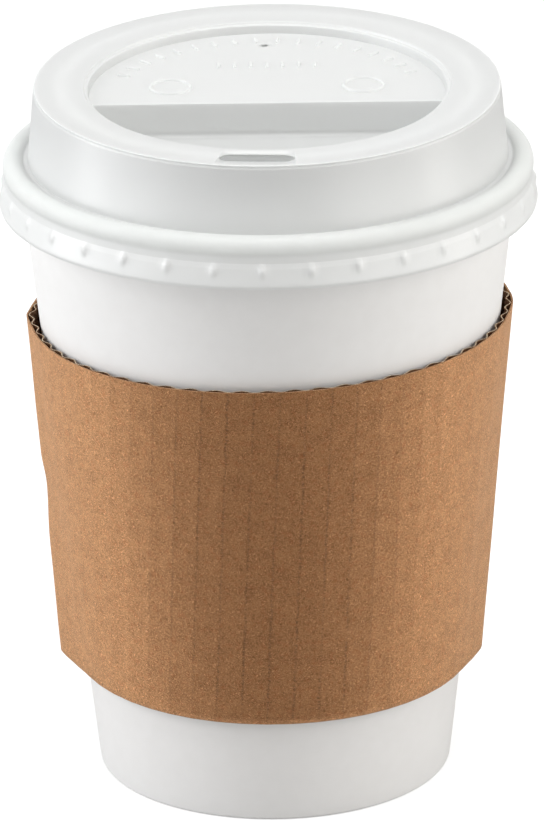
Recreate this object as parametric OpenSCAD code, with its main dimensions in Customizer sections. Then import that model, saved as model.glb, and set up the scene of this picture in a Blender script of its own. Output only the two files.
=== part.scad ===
// Takeaway paper cup with a push-fit sip lid and a fluted card sleeve.
// Millimetres. The cup stands on z = 0 with its axis on Z, and the sip slot faces -Y.

/* [Cup] */
// Height of the cup to the top of its rolled rim
cup_h = 112.8; // [90:0.1:160]
// Outer diameter of the cup wall where it stands
cup_base_d = 62.4; // [50:0.1:76]
// Thickness of the cup paper
wall_t = 0.35; // [0.25:0.01:0.5]
// Outer diameter of the rolled rim
rim_d = 90.4; // [80:0.1:100]
// Thickness of the rim roll
rim_roll = 2.1; // [1.6:0.1:3]
// Width of the opening under the rim roll, outside the wall
roll_open = 0.7; // [0.3:0.1:1]
// Width of the glued lap of the cup wall, at the back
lap_w = 7; // [4:0.5:12]
// Step of the pressed lap above the wall
lap_t = 0.15; // [0.05:0.01:0.2]
// Gap between the lap's top end and the rim roll
lap_end_gap = 0.3; // [0.1:0.1:1]

/* [Cup base] */
// Height of the inside floor above the table
floor_z = 8; // [5:0.1:14]
// Thickness of the base paper
base_t = 0.35; // [0.25:0.01:0.5]
// Gap between the wall's turned-in edge and the underside of the base
turn_in_gap = 0.85; // [0.3:0.05:2]
// Glue gap between glued papers
glue_gap = 0.05; // [0.02:0.01:0.1]

/* [Lid skirt and bead] */
// Thickness of the formed plastic sheet
lid_t = 0.35; // [0.2:0.01:0.45]
// Gap between the rim's top and the lid
lid_top_gap = 0.3; // [0.2:0.05:0.6]
// Gap between the rim's side and the lid's bead
lid_side_gap = 0.65; // [0.5:0.05:1.2]
// Height of the bead's round below its middle
bead_low = 1; // [0.6:0.1:1.4]
// Gap between the rim's side and the notch under the bead
notch_gap = 0.45; // [0.35:0.05:1]
// Depth of the notch below the middle of the bead
notch_drop = 2.3; // [1.8:0.1:3]
// Height of the slope from the notch to the skirt
notch_ease_h = 0.9; // [0.5:0.1:1.5]
// Width of the slope from the notch to the skirt
notch_ease_w = 0.3; // [0.1:0.05:0.6]
// How far the skirt at its widest stands out from the notch
skirt_flare = 0.9; // [0.7:0.1:3]
// Height of the skirt below the notch
skirt_h = 4.5; // [3:0.1:7]
// Height of the lip at the skirt's bottom edge
lip_h = 0.6; // [0.3:0.1:1]
// How far the lip turns in
lip_in = 0.2; // [0:0.05:0.4]

/* [Lid drum] */
// Depth of the groove between bead and drum
groove_depth = 0.5; // [0.2:0.05:0.8]
// Width of the groove's floor
groove_w = 0.8; // [0.4:0.1:3]
// Height of the drum above the groove, on the axis
drum_h = 13; // [10:0.1:20]
// How much narrower the drum's radius is at its top than at the groove
drum_taper = 1.25; // [0.5:0.05:4]
// Angle by which the drum's top falls towards the sip slot
top_fall = 1.6; // [0:0.1:3]
// Radius of the drum's top edge
edge_r = 0.8; // [0.4:0.1:1.5]

/* [Lid top] */
// Width of the top ring between the drum's side and the recess
ring_w = 9.25; // [7.5:0.05:14]
// Fall of the ring's top face towards the recess
ring_fall = 0.3; // [0:0.05:0.6]
// Depth of the rear platform below the ring
platform_depth = 2.2; // [1.5:0.1:4]
// Depth of the front well below the ring
well_depth = 8.1; // [5:0.1:9]
// Distance from the axis to the straight edge of the platform
step_y = 4; // [0:0.1:10]
// Draft angle of the recess walls and of the step
draft = 9; // [2:0.5:14]
// Width of the small ledge round the recess
ledge_w = 0.5; // [0.2:0.05:1]
// Depth of the small ledge
ledge_depth = 0.7; // [0.4:0.05:1.2]

/* [Sip slot and vent] */
// Length of the sip slot
slot_l = 12.9; // [8:0.1:16]
// Width of the sip slot
slot_w = 3.8; // [2.5:0.1:4.5]
// Distance from the drum's side to the middle of the slot
slot_inset = 4.35; // [4:0.05:5.5]
// Angle of the slot to the left of the front
slot_turn = 3; // [-10:0.5:10]
// Diameter of the vent hole
vent_d = 1.4; // [0.8:0.1:2.4]
// Distance from the recess's edge to the middle of the vent hole
vent_inset = 5.7; // [4:0.1:8]

/* [Skirt pips] */
// Number of raised pips round the skirt
pips = 35; // [20:1:48]
// Radius of each pip's round
pip_r = 0.8; // [0.6:0.05:1.2]
// How far each pip stands out from the notch
pip_out = 0.35; // [0.2:0.05:0.5]
// Height of each pip
pip_h = 2.4; // [1.5:0.1:2.6]
// Angle of the front pip to the left of the front
pip_turn = 2; // [0:0.1:5]

/* [Raised marks] */
// Height of the raised marks on the platform
mark_h = 0.2; // [0.1:0.05:0.4]
// Line width of the raised marks
mark_w = 0.6; // [0.4:0.05:1]
// Distance from the recess's edge to the outer ends of the ticks
tick_inset = 3.1; // [2:0.1:5]
// Length of each tick
tick_l = 2.4; // [1:0.1:3]
// Angle between ticks
tick_step = 8; // [6:0.5:8]
// Number of ticks on each side of the vent
tick_count = 9; // [3:1:10]
// Outer diameter of the two raised rings
ring_mark_d = 7.6; // [4:0.1:9]
// Distance of the raised rings to each side
ring_mark_x = 16.8; // [12:0.1:18]
// Distance from the step back to the middle of the raised rings
ring_mark_back = 8; // [6:0.1:12]
// Distance from the step back to the middle of the row of bars
row_back = 18.5; // [15:0.1:22]
// Number of bars in the row
row_count = 7; // [3:1:9]
// Spacing of the bars
row_step = 2.8; // [2:0.1:3]

/* [Sleeve] */
// Height of the sleeve's bottom edge above the table
sleeve_z = 19.8; // [10:0.1:30]
// Distance from the rim's top down to the sleeve's top edge
sleeve_drop = 28.5; // [16:0.1:45]
// Rise of the top edge from the axis to the right side
sleeve_skew = 0.9; // [0:0.1:2]
// Clearance between the flutes and the cup's glued lap
sleeve_gap = 0.3; // [0.2:0.05:0.6]
// Thickness of the outer kraft paper
liner_t = 0.27; // [0.2:0.01:0.4]
// How far the left fold stands out at the bottom edge
fold_left = 2.5; // [0.2:0.1:4]
// How far the right fold stands out at the bottom edge
fold_right = 1.2; // [0.2:0.1:4]
// How far both folds stand out at the top edge
fold_top = 0.1; // [0.05:0.05:1]

/* [Flutes] */
// Number of flutes round the sleeve
flutes = 58; // [30:1:70]
// Height of the flutes, with their paper
flute_h = 0.95; // [0.7:0.05:1.5]
// Thickness of the fluted paper
flute_t = 0.22; // [0.15:0.01:0.3]
// Sideways lean of the flutes from the top edge to the bottom edge, in degrees about the axis
flute_lean = 4.8; // [-10:0.1:10]

/* [Hidden] */
$fn = 96;

paper_white = [0.95, 0.94, 0.93];
lid_clear = [0.92, 0.94, 0.94];
kraft_outer = [0.74, 0.54, 0.38];
kraft_inner = [0.62, 0.44, 0.30];

// Length by which a cut passes clean through a face
cut = 1;
// Size of a block that is larger than the lid in every direction
reach = rim_d;

// The wall's outer face runs straight from the table to the middle of the rim roll
roll_r = rim_roll / 2;
roll_pos = [rim_d / 2 - roll_r, cup_h - roll_r];
wall_foot_r = cup_base_d / 2;
wall_head_r = rim_d / 2 - rim_roll + wall_t;
wall_slope = (wall_head_r - wall_foot_r) / roll_pos[1];
// Outer and inner radius of the wall at a height
function wall_r(z) = wall_foot_r + wall_slope * z;
function wall_in_r(z) = wall_r(z) - wall_t;
// Faces of the base's flange and of the turned-in edge, from the outside to the inside
function flange_r(z) = wall_in_r(z) - glue_gap;
function flange_in_r(z) = flange_r(z) - base_t;
function turn_in_r(z) = flange_in_r(z) - glue_gap;
under_z = floor_z - base_t;
turn_in_h = under_z - turn_in_gap;
lap_end_z = cup_h - rim_roll - lap_end_gap;
lap_angle = 180 * lap_w / (PI * wall_r(lap_end_z / 2));

// The bead follows the rim roll, and the notch under it follows the rim
bead_in_r = roll_r + lid_side_gap;
bead_r = bead_in_r + lid_t;
bead_pos = [roll_pos[0], roll_pos[1] + roll_r + lid_top_gap - bead_in_r];
bead_start = -asin(bead_low / bead_r);
bead_rise = asin((bead_r - groove_depth) / bead_r);
bead_steps = 14;
notch_r = rim_d / 2 + notch_gap + lid_t;
notch_z = bead_pos[1] - notch_drop;
skirt_r = notch_r + skirt_flare;
skirt_z = notch_z - skirt_h;
groove_z = bead_pos[1] + bead_r - groove_depth;

// The drum stands inside the groove, and its top carries the ring, the recess and the slot
drum_foot_r = bead_pos[0] - bead_r * cos(bead_rise) - groove_w;
drum_top_r = drum_foot_r - drum_taper;
drum_slope = drum_taper / drum_h;
edge_steps = 5;
recess_r = drum_top_r - ring_w;
draft_run = tan(draft);
well_r = recess_r - platform_depth * draft_run - ledge_w / 2;
// Half the sheet's thickness is the overlap that joins the drum to the skirt
seam = lid_t / 2;
// Depth to which the tilted drum's outline is drawn below the groove, to stay whole
drum_root = drum_foot_r * tan(top_fall) + 4 * lid_t;
// Depth of a hole that passes through the ring or the platform
hole_depth = platform_depth + lid_t + cut;

// Distance from the cup's wall to the flutes, and to the liner's inner face outside them
flute_out = lap_t + sleeve_gap;
liner_out = flute_out + flute_h + glue_gap;
sleeve_h = cup_h - sleeve_drop - sleeve_z;
liner_sides = 120;
liner_rows = 4;
flute_points = 6;
flute_rows = 2;

// Points of an arc round a centre
function arc(centre, r, from, to, steps) = [
    for (i = [0:steps])
        let (a = from + (to - from) * i / steps)
        centre + r * [cos(a), sin(a)]
];

// A path shifted sideways by d to its left, with mitred corners
function left_of(v) = [-v[1], v[0]] / norm(v);
function parallel_path(path, d) = [
    for (i = [0:len(path) - 1])
        let (
            before = left_of(path[max(i, 1)] - path[max(i, 1) - 1]),
            last = len(path) - 2,
            after = left_of(path[min(i, last) + 1] - path[min(i, last)])
        )
        path[i] + d * (before + after) / (1 + before * after)
];

// Outer face of the lid's skirt, notch and bead, from the bottom edge up
skirt_path = concat(
    [
        [skirt_r - lip_in, skirt_z],
        [skirt_r, skirt_z + lip_h],
        [notch_r + notch_ease_w, notch_z - notch_ease_h],
        [notch_r, notch_z]
    ],
    arc(bead_pos, bead_r, bead_start, 180 - bead_rise, bead_steps)
);

// Outer face of the drum, from below the groove to its top edge
drum_path = concat(
    [[drum_foot_r + drum_root * drum_slope, -drum_root]],
    arc([drum_top_r - edge_r, drum_h - edge_r], edge_r, 0, 90, edge_steps),
    [[recess_r, drum_h - ring_fall]]
);

// Solid inside a path, closed level to the axis at both of its ends
module turned(path) {
    last = len(path) - 1;
    rotate_extrude()
        polygon(concat([[0, path[0][1]]], path, [[0, path[last][1]]]));
}

// The side wall, its turned-in bottom edge and its rolled rim
module wall_section() {
    polygon([
        [turn_in_r(0) - wall_t, 0],
        [wall_r(0), 0],
        [wall_r(roll_pos[1]), roll_pos[1]],
        [wall_in_r(roll_pos[1]), roll_pos[1]],
        [wall_in_r(wall_t), wall_t],
        [turn_in_r(wall_t), wall_t],
        [turn_in_r(turn_in_h), turn_in_h],
        [turn_in_r(turn_in_h) - wall_t, turn_in_h]
    ]);
    difference() {
        translate(roll_pos)
            circle(r = roll_r);
        translate(roll_pos)
            circle(r = roll_r - wall_t);
        translate([wall_r(roll_pos[1]), roll_pos[1] - roll_r - cut])
            square([roll_open, roll_r + cut]);
    }
}

module cup_wall() {
    color(paper_white) {
        rotate_extrude()
            wall_section();
        rotate(90 - lap_angle / 2)
            rotate_extrude(angle = lap_angle)
                polygon([
                    [wall_r(0) - wall_t / 2, 0],
                    [wall_r(0) + lap_t, 0],
                    [wall_r(lap_end_z) + lap_t, lap_end_z],
                    [wall_r(lap_end_z) - wall_t / 2, lap_end_z]
                ]);
    }
}

module cup_base() {
    flange_z = wall_t + glue_gap;
    color(paper_white)
        rotate_extrude()
            polygon([
                [0, under_z],
                [flange_in_r(under_z), under_z],
                [flange_in_r(flange_z), flange_z],
                [flange_r(flange_z), flange_z],
                [flange_r(floor_z), floor_z],
                [0, floor_z]
            ]);
}

// Everything on the tilted drum is drawn from the groove's height, on the drum's own axis
module on_drum() {
    translate([0, 0, groove_z])
        rotate([top_fall, 0, 0])
            children();
}

// The part of the tilted drum that stands above a height
module drum_above(path, z) {
    intersection() {
        on_drum()
            turned(path);
        translate([0, 0, z])
            cylinder(r = reach, h = reach);
    }
}

// A round pocket with draft between two depths below the ring, open above
module pocket(top_r, top, bottom) {
    depth = bottom - top;
    translate([0, 0, drum_h - bottom])
        cylinder(r1 = top_r - depth * draft_run, r2 = top_r + cut * draft_run, h = depth + cut);
}

// The recess in the drum's top: grow is 0 for the upper face and the sheet's thickness below
module recess(grow) {
    pocket(recess_r + ledge_w + grow, 0, ledge_depth + grow);
    pocket(recess_r + grow, 0, platform_depth + grow);
    intersection() {
        pocket(well_r + grow, platform_depth, well_depth + grow);
        translate([0, grow - step_y, drum_h - platform_depth])
            rotate([-draft, 0, 0])
                translate([-reach, -reach, -reach])
                    cube([2 * reach, reach, 2 * reach]);
    }
}

// An upright cylinder for each pip, thinner by shrink on the sheet's inner face
module skirt_pips(shrink) {
    for (i = [0:pips - 1])
        rotate(360 * i / pips - 90 - pip_turn)
            translate([notch_r + pip_out - pip_r, 0, notch_z - pip_h / 2 + shrink])
                cylinder(r = pip_r - shrink, h = pip_h - 2 * shrink, $fn = 24);
}

module lid_outside() {
    difference() {
        union() {
            turned(skirt_path);
            skirt_pips(0);
            drum_above(drum_path, groove_z - seam);
        }
        on_drum()
            recess(0);
    }
}

module lid_inside() {
    inner_skirt = parallel_path(skirt_path, lid_t);
    difference() {
        union() {
            turned(concat([inner_skirt[0] - [0, cut]], inner_skirt));
            skirt_pips(lid_t);
            drum_above(parallel_path(drum_path, lid_t), groove_z - lid_t - seam);
        }
        on_drum()
            recess(lid_t);
    }
}

// A raised bar on the platform, standing along Y
module mark_bar() {
    translate([-mark_w / 2, -tick_l / 2, -lid_t / 2])
        cube([mark_w, tick_l, lid_t / 2 + mark_h]);
}

// A raised ring on the platform
module mark_ring() {
    difference() {
        translate([0, 0, -lid_t / 2])
            cylinder(d = ring_mark_d, h = lid_t / 2 + mark_h);
        cylinder(d = ring_mark_d - 2 * mark_w, h = mark_h + cut);
    }
}

// Plain raised marks: an arc of ticks, two rings and a row of bars
module raised_marks() {
    translate([0, 0, drum_h - platform_depth]) {
        for (side = [-1, 1], i = [0:tick_count - 1])
            rotate(side * (i + 0.5) * tick_step)
                translate([0, recess_r - tick_inset - tick_l / 2, 0])
                    mark_bar();
        for (side = [-1, 1])
            translate([side * ring_mark_x, ring_mark_back - step_y, 0])
                mark_ring();
        for (i = [0:row_count - 1])
            translate([(i - (row_count - 1) / 2) * row_step, row_back - step_y, 0])
                mark_bar();
    }
}

module sip_slot() {
    span = slot_l - slot_w;
    rotate(-slot_turn)
        translate([0, slot_inset - drum_top_r, drum_h - hole_depth]) {
            for (side = [-1, 1])
                translate([side * span / 2, 0, 0])
                    cylinder(d = slot_w, h = hole_depth + cut);
            translate([-span / 2, -slot_w / 2, 0])
                cube([span, slot_w, hole_depth + cut]);
        }
}

module vent_hole() {
    translate([0, recess_r - vent_inset, drum_h - hole_depth])
        cylinder(d = vent_d, h = hole_depth + cut);
}

module lid() {
    color(lid_clear)
        difference() {
            union() {
                difference() {
                    lid_outside();
                    lid_inside();
                }
                on_drum()
                    raised_marks();
            }
            on_drum() {
                sip_slot();
                vent_hole();
            }
        }
}

// The sleeve hugs the cup, and runs straight out to its two folds at the sides.
// Share of the height from the bottom edge is k, and out is the distance from the cup's wall.
function fold_out(a, k) = let (low = cos(a) < 0 ? fold_left : fold_right) low + (fold_top - low) * k;
function sleeve_height(a, k) = sleeve_z + (sleeve_h + sleeve_skew * cos(a)) * k;
function sleeve_radius(a, k, out) =
    let (
        r = wall_r(sleeve_height(a, k)) + out,
        from_fold = acos(min(1, abs(cos(a)))),
        meets = acos(r / (r + fold_out(a, k)))
    )
    from_fold < meets ? r / cos(meets - from_fold) : r;
function sleeve_point(a, k, out) =
    let (r = sleeve_radius(a, k, out))
    [r * cos(a), r * sin(a), sleeve_height(a, k)];

// A closed band from rings of n points: outer rings upwards, then inner rings downwards
module band(rings, n) {
    count = len(rings);
    polyhedron(
        points = [for (ring = rings) each ring],
        faces = [
            for (j = [0:count - 1], i = [0:n - 1])
                let (
                    a = j * n + i,
                    b = j * n + (i + 1) % n,
                    c = (j + 1) % count * n + (i + 1) % n,
                    d = (j + 1) % count * n + i
                )
                each [[a, c, b], [a, d, c]]
        ],
        convexity = 10
    );
}

function liner_ring(k, out) = [
    for (i = [0:liner_sides - 1])
        sleeve_point(360 * i / liner_sides, k, out)
];

module sleeve_liner() {
    color(kraft_outer)
        band(
            concat(
                [for (j = [0:liner_rows]) liner_ring(j / liner_rows, liner_out + liner_t)],
                [for (j = [liner_rows:-1:0]) liner_ring(j / liner_rows, liner_out)]
            ),
            liner_sides
        );
}

// One ring of the wavy sheet, which leans about the axis on its way down
flute_count = flutes * flute_points;
function wave(i) = (flute_h - flute_t) * (1 + cos(360 * i / flute_points)) / 2;
function flute_ring(k, t) = [
    for (i = [0:flute_count - 1])
        sleeve_point(360 * i / flute_count - flute_lean * (1 - k), k, flute_out + wave(i) + t)
];

module sleeve_fluting() {
    color(kraft_inner)
        band(
            concat(
                [for (j = [0:flute_rows]) flute_ring(j / flute_rows, flute_t)],
                [for (j = [flute_rows:-1:0]) flute_ring(j / flute_rows, 0)]
            ),
            flute_count
        );
}

cup_wall();
cup_base();
lid();
sleeve_liner();
sleeve_fluting();
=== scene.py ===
"""Looks of a paper coffee cup with a sip lid and a fluted sleeve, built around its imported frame."""

from math import asin, cos, degrees, pi, radians, sin, tan

import bmesh
import bpy
import numpy as np
from mathutils import Matrix, Vector

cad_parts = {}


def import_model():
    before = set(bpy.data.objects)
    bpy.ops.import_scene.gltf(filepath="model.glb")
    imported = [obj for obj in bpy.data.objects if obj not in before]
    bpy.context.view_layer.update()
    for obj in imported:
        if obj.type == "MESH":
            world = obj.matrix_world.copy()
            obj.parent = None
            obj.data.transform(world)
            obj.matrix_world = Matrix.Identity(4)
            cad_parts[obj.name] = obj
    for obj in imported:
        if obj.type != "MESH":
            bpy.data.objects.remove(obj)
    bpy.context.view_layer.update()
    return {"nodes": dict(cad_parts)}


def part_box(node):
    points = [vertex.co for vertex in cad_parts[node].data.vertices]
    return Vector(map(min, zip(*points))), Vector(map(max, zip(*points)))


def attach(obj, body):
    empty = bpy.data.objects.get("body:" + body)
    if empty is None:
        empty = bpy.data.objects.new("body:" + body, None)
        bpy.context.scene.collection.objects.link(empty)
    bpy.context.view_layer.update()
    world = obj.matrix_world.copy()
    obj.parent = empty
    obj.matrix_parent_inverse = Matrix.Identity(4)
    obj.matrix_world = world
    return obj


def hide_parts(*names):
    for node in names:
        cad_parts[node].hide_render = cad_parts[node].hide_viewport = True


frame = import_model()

MM = 0.001

# Sizes that the frame's boxes don't give, in millimetres

# Sheets and glue
WALL_T = 0.35
LINER_T = 0.27
FLUTE_H, FLUTE_T = 0.95, 0.22
GLUE_GAP = 0.05
LID_T = 0.35

# Cup: rim roll, foot fold and turned-in edge, glued lap (place and ease in degrees)
RIM_ROLL = 2.1
ROLL_TIGHTENS, ROLL_ENDS, ROLL_END_IN = -60, -170, 2.2
FOLD_MID_R = 0.4
TURN_IN_H = 6.8
LAP_W, LAP_T = 7.0, 0.15
LAP_AT, LAP_EASE = 90.0, 4.0
LAP_TOP_GAP = 2.0
LAP_EDGE = 0.02
CUP_COLUMNS, WALL_ROWS, ROLL_ROWS, FOLD_ROWS = 288, 40, 31, 10

# Sleeve: how far the two folds stand out below and on top, and how sharp they are
FOLD_LEFT, FOLD_LEFT_TOP, FOLD_LEFT_EASE = 3.5, 0.9, radians(2)
FOLD_RIGHT, FOLD_RIGHT_TOP, FOLD_RIGHT_EASE = 3.2, 1.0, radians(5)
# Dent in the left fold: three heights and a depth
DENT_LOW, DENT_DEEPEST, DENT_HIGH, DENT_DEPTH = 40.0, 52.0, 58.0, 0.55
SKEW = 0.9
CUT_SLANT = 0.2
# Flutes: pitch, lean and shift on the flat blank, and how far the liner sinks between them
FLUTE_PITCH = 4.5
FLUTE_LEAN = radians(-2.75)
FLUTE_SHIFT = -1.1
FACE_DEPTH = 0.05
# Glued end at the back: place in degrees, width and step
SEAM_AT, SEAM_W, SEAM_STEP = 145.0, 16.0, 0.35
SEAM_EDGE = 2e-4
# Columns, rows of the outer face and rows of the inner face
LINER_GRID, FLUTE_GRID = (1060, 57, 12), (944, 42, 42)

# Lid: gaps over the rim's roll, notch under it, lip of the skirt
LID_TOP_GAP, LID_SIDE_GAP = 0.3, 0.65
NOTCH_GAP, NOTCH_DROP = 0.45, 2.3
NOTCH_EASE_H, NOTCH_EASE_W = 0.9, 0.3
LIP_H, LIP_IN = 0.6, 0.2
LIP_BACK, LIP_RISE = 0.25, 0.15
BEAD_LOW = 1.0
SKIRT_SPACING = 0.4
BEAD_ROWS = 18
# Groove between bead and drum; the bead ends and the groove starts so many degrees before it
GROOVE_DEPTH, GROOVE_W, GROOVE_FLOOR = 0.75, 0.8, 0.25
BEAD_END, GROOVE_START = 14, 8
# Drum: taper, tilt to the front and the height over which the tilt sets in
DRUM_TAPER = 1.25
TOP_FALL = radians(1.6)
TILT_EASE_H = 4.0
# How far the drum's foot reaches out to the groove
FOOT_OUT = 0.35
# Ring: its sharp edge with a thin lip under it, its width and its fall to the ledge
EDGE_R = 0.15
EDGE_LIP_H, EDGE_LIP_IN, EDGE_LIP_SHARE = 0.7, 0.13, 0.55
RING_W, RING_FALL = 9.25, 0.3
LEDGE_W, LEDGE_DEPTH, LEDGE_DRAFT = 0.5, 0.7, 0.1
# Recess: platform, step and well
PLATFORM_DEPTH, WELL_DEPTH = 2.2, 8.1
WELL_LEDGE, WELL_LEDGE_H, LEAST_DROP = 0.25, 0.3, 0.05
STEP_Y = 4.0
DRAFT = tan(radians(9))
FLOOR_FILLET = 0.7
FLOOR_MARGIN = 0.5
STEP_COLUMNS, WELL_COLUMNS, PLATFORM_COLUMNS, FLOOR_ROWS = 22, 48, 58, 32
# Pips of the skirt: number, turn and half width in degrees, size, and a power that fills them out
PIPS = 35
PIP_TURN, PIP_HALF = 1.5, 1.2
PIP_OUT, PIP_H, PIP_END, PIP_POWER = 0.35, 2.4, 0.1, 0.7
# Columns over a pip and between two pips, in degrees from the pip's middle
PIP_COLUMNS = (-0.95, -0.72, -0.52, -0.34, -0.17, 0, 0.17, 0.34, 0.52, 0.72, 0.95)
BETWEEN_PIPS = (2.2, 3.6, 5.143, 6.6, 8.0)
# Slot and vent, and how deep their cutters reach
SLOT_L, SLOT_W, SLOT_INSET, SLOT_TURN, SLOT_CUT = 12.9, 3.8, 4.35, 3.0, 3
VENT_D, VENT_INSET, VENT_X, VENT_CUT = 1.5, 6.4, -0.4, 4
SLOT_END_STEPS, VENT_SIDES = 14, 24
CUTTER_TOP = 1
# Raised marks on the platform
MARK_W, MARK_L, MARK_H = 0.6, 2.4, 0.36
# Side of a mark as (inset, height), from inside the sheet to the mark's top
MARK_SIDE = (0, -0.12), (0.02, 0.02), (0.08, MARK_H * 0.7), (0.16, MARK_H)
MARK_CORNER, CORNER_STEPS, RING_MARK_STEPS = 0.22, 4, 48
TICK_INSET, TICK_STEP, TICK_COUNT = 3.1, 8.0, 9
RING_MARK_D, RING_MARK_X, RING_MARK_BACK = 7.6, 16.8, 8.0
BAR_COUNT, BAR_STEP, BAR_BACK = 7, 2.8, 18.5


def box_mm(node):
    """Lowest and highest corner of a CAD node in millimetres."""
    lo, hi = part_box(node)
    return np.array(lo) / MM, np.array(hi) / MM


def front_radius(node, z, near=0.1):
    """Largest radius of a node's front half near a height, in millimetres."""
    points = np.array([v.co for v in frame["nodes"][node].data.vertices]) / MM
    ring = points[(abs(points[:, 2] - z) < near) & (points[:, 1] < 0)]
    return np.hypot(ring[:, 0], ring[:, 1]).max()


# The cup: its wall runs straight from the foot to the middle of the rim's roll
cup_lo, cup_hi = box_mm("cup_wall")
cup_h = cup_hi[2]
rim_r = cup_hi[0]
foot_r = front_radius("cup_wall", cup_lo[2])
roll_r = RIM_ROLL / 2
roll_pos = np.array([rim_r - roll_r, cup_h - roll_r])
head_r = rim_r - RIM_ROLL + WALL_T
wall_slope = (head_r - foot_r) / roll_pos[1]
cone_sine = sin(np.arctan(wall_slope))


def wall_r(z):
    """Radius of the cup wall's outer face at a height."""
    return foot_r + wall_slope * z


# The sleeve: distances of its faces from the wall
sleeve_lo, sleeve_hi = box_mm("sleeve_liner")
sleeve_z = sleeve_lo[2]
sleeve_h = sleeve_hi[2] - sleeve_z - SKEW
face_out = sleeve_hi[1] - wall_r(sleeve_z + sleeve_h)
liner_out = face_out - LINER_T
flute_out = liner_out - GLUE_GAP - FLUTE_H

# The lid: bead over the roll, notch, groove, drum and recess
lid_lo, lid_hi = box_mm("lid")
bead_r = roll_r + LID_SIDE_GAP + LID_T
bead_pos = np.array([roll_pos[0], cup_h + LID_TOP_GAP + LID_T - bead_r])
bead_rise = degrees(asin((bead_r - GROOVE_DEPTH) / bead_r))
groove_z = bead_pos[1] + bead_r - GROOVE_DEPTH
groove_r = bead_pos[0] - bead_r * cos(radians(bead_rise))
notch_r = rim_r + NOTCH_GAP + LID_T
notch_z = bead_pos[1] - NOTCH_DROP
skirt_r, skirt_z = lid_hi[0], lid_lo[2]
drum_foot_r = groove_r - GROOVE_W
drum_top_r = drum_foot_r - DRUM_TAPER
drum_h = (lid_hi[2] - groove_z - (drum_top_r - EDGE_R) * sin(TOP_FALL)) / cos(TOP_FALL)
recess_r = drum_top_r - RING_W


# Mesh helpers

# Limits of a round corner: cosine of the angle between its legs, and its share of a leg
LARGEST_COSINE, LARGEST_REACH = 0.99999, 0.49


def grid_faces(rows, columns, wrap_rows, wrap_columns):
    """Quads between points that are numbered row by row."""
    i = np.arange(rows if wrap_rows else rows - 1)[:, None]
    j = np.arange(columns if wrap_columns else columns - 1)[None, :]
    up, on = (i + 1) % rows, (j + 1) % columns
    quads = [i * columns + j, i * columns + on, up * columns + on, up * columns + j]
    return np.stack(quads, -1).reshape(-1, 4)


def turn(r, angle, z):
    """Points from radius, angle and height, which are broadcast to one shape."""
    r, angle, z = np.broadcast_arrays(r, angle, z)
    return np.stack([r * np.cos(angle), r * np.sin(angle), z], -1)


def eased(x):
    """A share of 0 to 1 with no slope at either end."""
    return x * x * (3 - 2 * x)


def smooth_hump(x):
    """1 at 0 and 0 from 1 on, with no slope at either."""
    x = np.clip(np.abs(x), 0, 1)
    return (1 - x * x) ** 2


def rotated(points, angle):
    """Flat points turned to the left by an angle in radians."""
    return points @ np.array([[cos(angle), sin(angle)], [-sin(angle), cos(angle)]])


def make_piece(name, points, faces, materials, face_slots=None, sharp=35):
    """A mesh object from points in millimetres, smooth except over edges sharper than an angle."""
    mesh = bpy.data.meshes.new(name)
    mesh.from_pydata((points.reshape(-1, 3) * MM).tolist(), [], [list(f) for f in faces])
    for material in materials:
        mesh.materials.append(material)
    if face_slots is not None:
        mesh.polygons.foreach_set("material_index", np.asarray(face_slots, dtype=np.int32))
    mesh.validate()
    mesh.polygons.foreach_set("use_smooth", np.ones(len(mesh.polygons), dtype=bool))
    mesh.set_sharp_from_angle(angle=radians(sharp))
    obj = bpy.data.objects.new(name, mesh)
    bpy.context.scene.collection.objects.link(obj)
    return obj


def add_attribute(obj, name, values):
    """A vector for every point, which a material can read by name."""
    data = obj.data.attributes.new(name, "FLOAT_VECTOR", "POINT")
    data.data.foreach_set("vector", np.asarray(values, dtype=np.float32).reshape(-1))


def dress(obj, body, node):
    """Puts a piece on its body, in the place of a CAD node."""
    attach(obj, body)
    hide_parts(node)


def arc(centre, r, start, end, steps):
    """Points of an arc in the (radius, height) plane, with angles in degrees."""
    a = np.radians(np.linspace(start, end, steps + 1))
    return np.array(centre) + r * np.stack([np.cos(a), np.sin(a)], -1)


def offset_path(path, d):
    """A path of the (radius, height) plane moved by d to its left."""
    legs = np.diff(path, axis=0)
    legs /= np.linalg.norm(legs, axis=1)[:, None]
    left = np.stack([-legs[:, 1], legs[:, 0]], -1)
    before, after = np.vstack([left[:1], left]), np.vstack([left, left[-1:]])
    return path + d * (before + after) / (1 + (before * after).sum(1))[:, None]


def rounded(keys, radii, steps):
    """A path through key points with round corners. keys is (points, columns, 2), one path a column."""
    rows = [keys[0]]
    for k in range(1, len(keys) - 1):
        corner, radius = keys[k], radii[k]
        back, on = keys[k - 1] - corner, keys[k + 1] - corner
        back_l = np.linalg.norm(back, axis=-1, keepdims=True)
        on_l = np.linalg.norm(on, axis=-1, keepdims=True)
        back, on = back / back_l, on / on_l
        cosine = (back * on).sum(-1, keepdims=True)
        half = np.arccos(np.clip(cosine, -LARGEST_COSINE, LARGEST_COSINE)) / 2
        reach = np.minimum(radius / np.tan(half), LARGEST_REACH * np.minimum(back_l, on_l))
        weight = np.sin(half)
        start, end = corner + back * reach, corner + on * reach
        for s in np.linspace(0, 1, steps[k] + 1):
            a, b, c = (1 - s) ** 2, 2 * s * (1 - s) * weight, s**2
            rows.append((a * start + b * corner + c * end) / (a + b + c))
    rows.append(keys[-1])
    return np.array(rows)


# Material helpers


def new_material(name):
    """A material with its node tree and its shader."""
    material = bpy.data.materials.new(name)
    material.use_nodes = True
    return material, material.node_tree, material.node_tree.nodes["Principled BSDF"]


def connect(tree, value, socket):
    """Links an output to a socket, or sets the socket to a plain value."""
    if isinstance(value, bpy.types.NodeSocket):
        tree.links.new(value, socket)
    else:
        socket.default_value = value


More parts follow.
